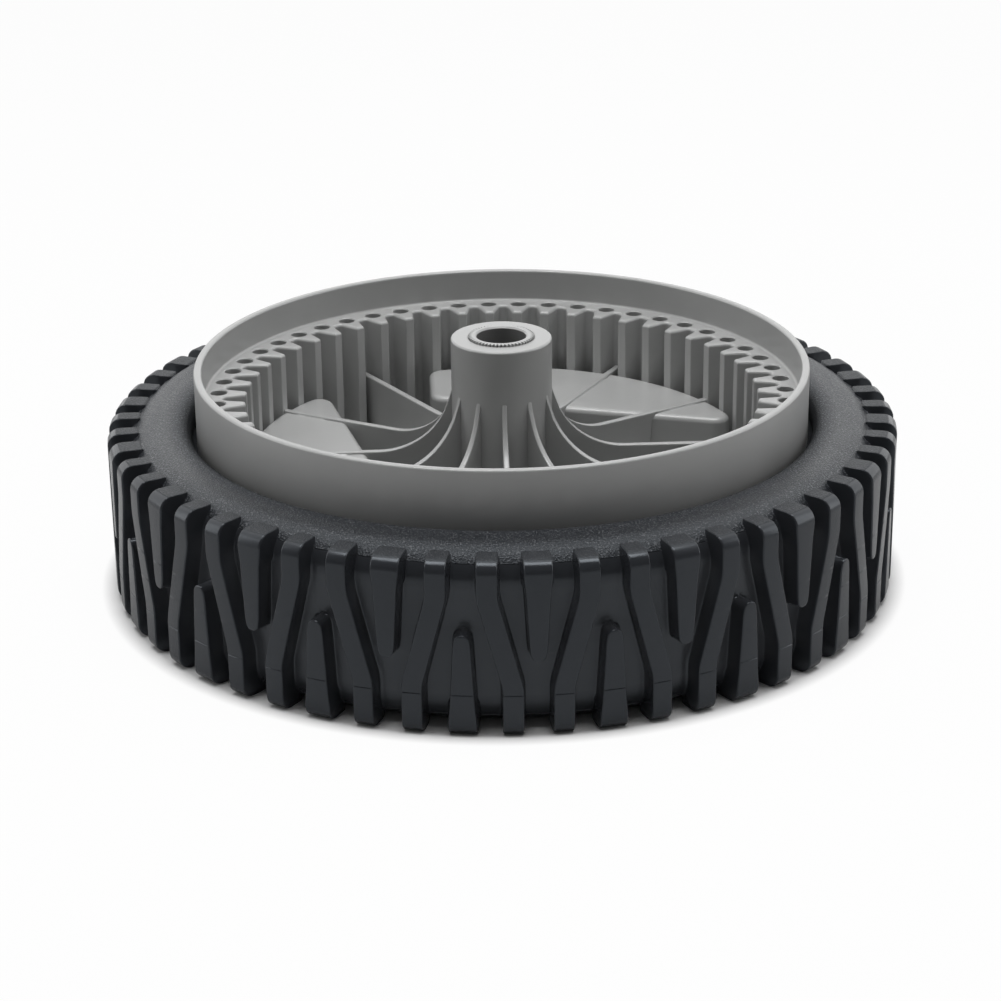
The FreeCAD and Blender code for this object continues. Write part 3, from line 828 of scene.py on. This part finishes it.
def rubber_zones(nodes):
    """Masks of the tyre's zones, from the distance to the axle and to the tyre's middle plane."""
    spot = nodes.add("ShaderNodeTexCoord").outputs["Object"]
    radius = nodes.from_axle(spot)
    height = nodes.add("ShaderNodeSeparateXYZ", {"Vector": spot}).outputs["Z"]
    aside = nodes.math("ABSOLUTE", nodes.math("SUBTRACT", height, TYRE_MIDDLE))
    edge = TYRE_MIDDLE - SHOULDER_ROUND * (1 - math.sin(math.radians(GRAIN_EDGE)))
    sidewall = nodes.spread(aside, edge - GRAIN_EDGE_BLUR, edge + GRAIN_EDGE_BLUR)
    inner = nodes.spread(radius, GRAIN_RADIUS, GRAIN_RADIUS + GRAIN_FADE, 1, 0)
    normal = nodes.add("ShaderNodeNewGeometry").outputs["Normal"]
    upright = nodes.math("ABSOLUTE", nodes.add("ShaderNodeSeparateXYZ", {"Vector": normal}).outputs["Z"])
    level = nodes.spread(upright, *GRAIN_UPRIGHT)
    lug_end = nodes.spread(aside, TYRE_MIDDLE - LUG_TOP_DEPTHS[0], TYRE_MIDDLE - LUG_TOP_DEPTHS[1])
    on_pad = nodes.spread(radius, PAD_START - PAD_FADE, PAD_START + PAD_FADE)
    # Mask of the painted fill light: groove base and lower lug walls within the crown
    sunk = nodes.spread(radius, TREAD_BASE, TYRE_RADIUS - FILL_LIGHT_START, 1, 0)
    crown_edge = TYRE_MIDDLE - SHOULDER_ROUND
    crown = nodes.spread(aside, crown_edge - FILL_LIGHT_FADE[0], crown_edge + FILL_LIGHT_FADE[1], 1, 0)
    return {
        "radius": radius,
        "grained": nodes.math("MULTIPLY", nodes.math("MULTIPLY", sidewall, inner), level),
        "lug top": nodes.math("MULTIPLY", lug_end, on_pad),
        "painted_fill_light": nodes.math("MULTIPLY", sunk, crown),
        "groove": nodes.spread(radius, GROOVE_RADIUS - GROOVE_FADE, GROOVE_RADIUS, 1, 0),
    }


def rubber_tone(nodes, zones, grain, dust):
    """Smooth rubber lifted between the lugs by a painted fill light, speckled sidewalls, lug tops darkened by
    painted shade, the groove by the rim darkened by painted shade, and specks of dust.
    """
    smooth = nodes.blend(grain["Patches"], *SMOOTH_TONES)
    # Painted fill light lifts the groove base and lug walls
    smooth = nodes.blend(zones["painted_fill_light"], smooth, TREAD_FILL_LIGHT_TONE)
    grained = nodes.blend(nodes.spread(grain["Height"], *GRAIN_SPECKLE), *GRAIN_TONES)
    tone = nodes.blend(zones["grained"], smooth, grained)
    # Painted shade darkens the flat lug tops
    tone = nodes.blend(nodes.math("MULTIPLY", zones["lug top"], LUG_TOP_SHADE_SHARE), tone, LUG_TOP_PAINTED_SHADE)
    # Painted shade darkens the groove by the rim
    tone = nodes.blend(zones["groove"], tone, GROOVE_PAINTED_SHADE)
    return nodes.blend(dust["Specks"], tone, RUBBER_DUST)


def rubber_roughness(nodes, zones, grain):
    """Roughness that rises on the grained sidewalls, towards the rim, on lug tops and in the groove."""
    rough = nodes.spread(grain["Patches"], 0, 1, *SMOOTH_ROUGHNESS)
    rough = nodes.math("ADD", rough, nodes.math("MULTIPLY", zones["grained"], GRAIN_ROUGHER))
    by_rim = nodes.spread(zones["radius"], GROOVE_RADIUS, GROOVE_RADIUS + BY_RIM_REACH, *BY_RIM_ROUGHNESS)
    rough = nodes.math("MAXIMUM", rough, by_rim)
    rough = nodes.math("MAXIMUM", rough, nodes.math("MULTIPLY", zones["lug top"], LUG_TOP_ROUGHNESS))
    return nodes.math("MAXIMUM", rough, nodes.math("MULTIPLY", zones["groove"], GROOVE_ROUGHNESS))


def rubber_finish(groups):
    """Blue-black moulded rubber: smooth on the tread, and grainy on the sidewalls up to the shoulder."""
    material, nodes, shader = new_finish("tread rubber")
    grain = use_group(nodes, groups["grain"], Grain=2300.0, Patch=40.0)
    dust = use_group(nodes, groups["dust"], Spacing=210.0, Size=0.07, Share=0.03)
    zones = rubber_zones(nodes)
    nodes.feed(rubber_tone(nodes, zones, grain, dust), shader.inputs["Base Color"])
    nodes.feed(rubber_roughness(nodes, zones, grain), shader.inputs["Roughness"])
    shader.inputs["Specular IOR Level"].default_value = RUBBER_SPECULAR
    shader.inputs["Specular Tint"].default_value = RUBBER_TINT
    depth_share = nodes.spread(zones["grained"], 0, 1, *GRAIN_DEPTH_SHARES)
    depth = nodes.math("MULTIPLY", grain["Height"], depth_share)
    bump = nodes.add("ShaderNodeBump", {"Height": depth, "Strength": 1.0, "Distance": RUBBER_GRAIN_DEPTH})
    nodes.feed(bump.outputs["Normal"], shader.inputs["Normal"])
    return material


def plastic_finish(groups, name, tones, bore_shade=None):
    """Satin grey moulded plastic with faint patches and a fine grain; a bore's wall may be darkened by
    painted shade.
    """
    material, nodes, shader = new_finish(name)
    grain = use_group(nodes, groups["grain"], Grain=3200.0, Patch=48.0)
    dust = use_group(nodes, groups["dust"], Spacing=150.0, Size=0.05, Share=0.015)
    tone = nodes.blend(grain["Patches"], *tones)
    # The bore's wall gets a darker tone as painted shade
    if bore_shade:
        radius = nodes.from_axle(nodes.add("ShaderNodeTexCoord").outputs["Object"])
        outside = nodes.spread(radius, BORE_RADIUS + BORE_SHADE_FADE[0], BORE_RADIUS + BORE_SHADE_FADE[1])
        tone = nodes.blend(outside, bore_shade, tone)
    nodes.feed(nodes.blend(dust["Specks"], tone, PLASTIC_DUST), shader.inputs["Base Color"])
    nodes.feed(nodes.spread(grain["Patches"], 0, 1, *PLASTIC_ROUGHNESS), shader.inputs["Roughness"])
    shader.inputs["Specular IOR Level"].default_value = PLASTIC_SPECULAR
    relief = {"Height": grain["Height"], "Strength": PLASTIC_GRAIN_STRENGTH, "Distance": PLASTIC_GRAIN_DEPTH}
    bump = nodes.add("ShaderNodeBump", relief)
    nodes.feed(bump.outputs["Normal"], shader.inputs["Normal"])
    return material


# Studio

CAMERA_DISTANCE = 700.5 * MM
CAMERA_RISE = math.radians(22.05)
CAMERA_ROLL = math.radians(-0.6)
CAMERA_ASIDE = -0.63 * MM
AIM_HEIGHT = 17.85 * MM
FOCAL_PIXELS = 2665.0
PHOTO_PIXELS = 1001
SENSOR_WIDTH = 36.0


def make_camera():
    data = bpy.data.cameras.new("photo camera")
    data.sensor_width = SENSOR_WIDTH
    data.lens = SENSOR_WIDTH * FOCAL_PIXELS / PHOTO_PIXELS
    data.clip_start = 0.01
    camera = bpy.data.objects.new("photo camera", data)
    back = CAMERA_DISTANCE * math.cos(CAMERA_RISE)
    up = CAMERA_DISTANCE * math.sin(CAMERA_RISE)
    tilt = Euler((math.pi / 2 - CAMERA_RISE, 0, 0)).to_matrix() @ Matrix.Rotation(CAMERA_ROLL, 3, "Z")
    camera.matrix_world = Matrix.Translation((CAMERA_ASIDE, -back, AIM_HEIGHT + up)) @ tilt.to_4x4()
    bpy.context.scene.collection.objects.link(camera)
    bpy.context.scene.camera = camera


# Lamps in watts, and levels of the surroundings and the floor, where 1 shows white
TOP_POWER = 10.0
SIDE_POWER = 2.2
BACK_LEVEL = 0.02
FRONT_LEVEL = 0.1
MIRRORED_BACK = 1.5
FLOOR_GLOW = 0.96
# Glow share at the tyre's foot, inside the painted contact shadow
PAINTED_SHADOW_GLOW = 0.0
MIRRORED_FLOOR = 0.07
BACK_SIDE_SHARE = 0.6
BACK_FADE = 0.7

# The floor, and how its glow rises from the tyre's foot outwards, so that a painted contact shadow rings the
# foot
FLOOR_HALF = 3.0
FLOOR_TONE = (0.85, 0.85, 0.85, 1)
PAINTED_SHADOW_INSIDE = 1.2 * MM
PAINTED_SHADOW_OUTSIDE = 4.0 * MM
MIRRORED_SHADOW_FADE = 30.0 * MM
WHITE = (1, 1, 1, 1)


def make_floor():
    """Pale floor that shows white and keeps part of the wheel's real shadow; round the tyre's foot its glow
    is held back as a painted contact shadow, also where it is mirrored.
    """
    half = FLOOR_HALF
    corners = [(-half, -half, 0), (half, -half, 0), (half, half, 0), (-half, half, 0)]
    mesh = bpy.data.meshes.new("studio_floor")
    mesh.from_pydata(corners, [], [(0, 1, 2, 3)])
    floor = bpy.data.objects.new("studio_floor", mesh)
    bpy.context.scene.collection.objects.link(floor)
    material = bpy.data.materials.new("pale floor")
    material.use_nodes = True
    nodes = Nodes(material.node_tree)
    material.node_tree.nodes.remove(material.node_tree.nodes["Principled BSDF"])
    matte = nodes.add("ShaderNodeBsdfDiffuse", {"Color": FLOOR_TONE}).outputs["BSDF"]
    glow = nodes.add("ShaderNodeEmission", {"Color": WHITE, "Strength": 1.0}).outputs["Emission"]
    path = nodes.add("ShaderNodeLightPath").outputs
    mirrored = nodes.math("MAXIMUM", path["Is Glossy Ray"], path["Is Transmission Ray"])
    spot = nodes.add("ShaderNodeTexCoord").outputs["Object"]
    away = nodes.add("ShaderNodeVectorMath", {0: spot}, operation="LENGTH").outputs["Value"]
    # Painted contact shadow: the glow fades in from the tyre's foot, where the floor shows only its lamp-lit
    # tone with the real shadow
    painted_shadow = (TYRE_RADIUS - PAINTED_SHADOW_INSIDE, TYRE_RADIUS + PAINTED_SHADOW_OUTSIDE)
    glow_share = nodes.spread(away, *painted_shadow, PAINTED_SHADOW_GLOW, FLOOR_GLOW)
    seen = nodes.math("MULTIPLY", path["Is Camera Ray"], glow_share)
    # Painted shade in reflections: the mirrored glow fades in from the tyre's foot
    mirrored_share = nodes.spread(away, TYRE_RADIUS, TYRE_RADIUS + MIRRORED_SHADOW_FADE, 0, MIRRORED_FLOOR)
    share = nodes.math("MAXIMUM", seen, nodes.math("MULTIPLY", mirrored, mirrored_share))
    mixed = nodes.add("ShaderNodeMixShader", {"Fac": share})
    nodes.feed(matte, mixed.inputs[1])
    nodes.feed(glow, mixed.inputs[2])
    output = material.node_tree.nodes["Material Output"]
    nodes.feed(mixed.outputs["Shader"], output.inputs["Surface"])
    mesh.materials.append(material)


def make_world():
    """White surroundings for the eye, a bright back for mirrored rays, and faint light from all round."""
    world = bpy.data.worlds.new("studio")
    world.use_nodes = True
    bpy.context.scene.world = world
    nodes = Nodes(world.node_tree)
    way = nodes.add("ShaderNodeTexCoord").outputs["Generated"]
    split = nodes.add("ShaderNodeSeparateXYZ", {"Vector": way}).outputs
    aside = nodes.math("MULTIPLY", nodes.math("ABSOLUTE", split["X"]), BACK_SIDE_SHARE)
    back = nodes.spread(nodes.math("ADD", split["Y"], aside), 0.0, BACK_FADE)
    front = nodes.spread(split["Y"], 0.0, -BACK_FADE)
    path = nodes.add("ShaderNodeLightPath").outputs
    mirrored = nodes.math("MAXIMUM", path["Is Glossy Ray"], path["Is Transmission Ray"])
    back_level = nodes.math("ADD", nodes.math("MULTIPLY", mirrored, MIRRORED_BACK), BACK_LEVEL)
    front_light = nodes.math("MULTIPLY", front, FRONT_LEVEL)
    level = nodes.math("ADD", nodes.math("MULTIPLY", back, back_level), front_light)
    background = world.node_tree.nodes["Background"]
    background.inputs["Color"].default_value = WHITE
    nodes.feed(nodes.math("MAXIMUM", level, path["Is Camera Ray"]), background.inputs["Strength"])


def make_lamp(name, size, power, spot, aim):
    data = bpy.data.lights.new(name, "AREA")
    data.shape = "RECTANGLE"
    data.size, data.size_y = size
    data.energy = power
    lamp = bpy.data.objects.new(name, data)
    lamp.location = spot
    lamp.rotation_euler = (Vector(aim) - Vector(spot)).to_track_quat("-Z", "Y").to_euler()
    bpy.context.scene.collection.objects.link(lamp)


def make_studio():
    make_camera()
    make_floor()
    make_world()
    make_lamp("top softbox", size=(0.9, 0.5), power=TOP_POWER, spot=(0, -0.03, 1.1), aim=(0, -0.03, 0))
    for name, way in (("left softbox", -1), ("right softbox", 1)):
        make_lamp(name, size=(0.5, 0.9), power=SIDE_POWER, spot=(way, 0, 0.45), aim=(0, 0, 0.05))
    bpy.context.scene.view_settings.view_transform = "Standard"


groups = {"grain": mould_grain_group(), "dust": dust_group()}
make_tyre(rubber_finish(groups))
make_hub(plastic_finish(groups, "hub plastic", HUB_TONES))
make_bush(plastic_finish(groups, "bush plastic", BUSH_TONES, bore_shade=BORE_PAINTED_SHADE))
make_studio()
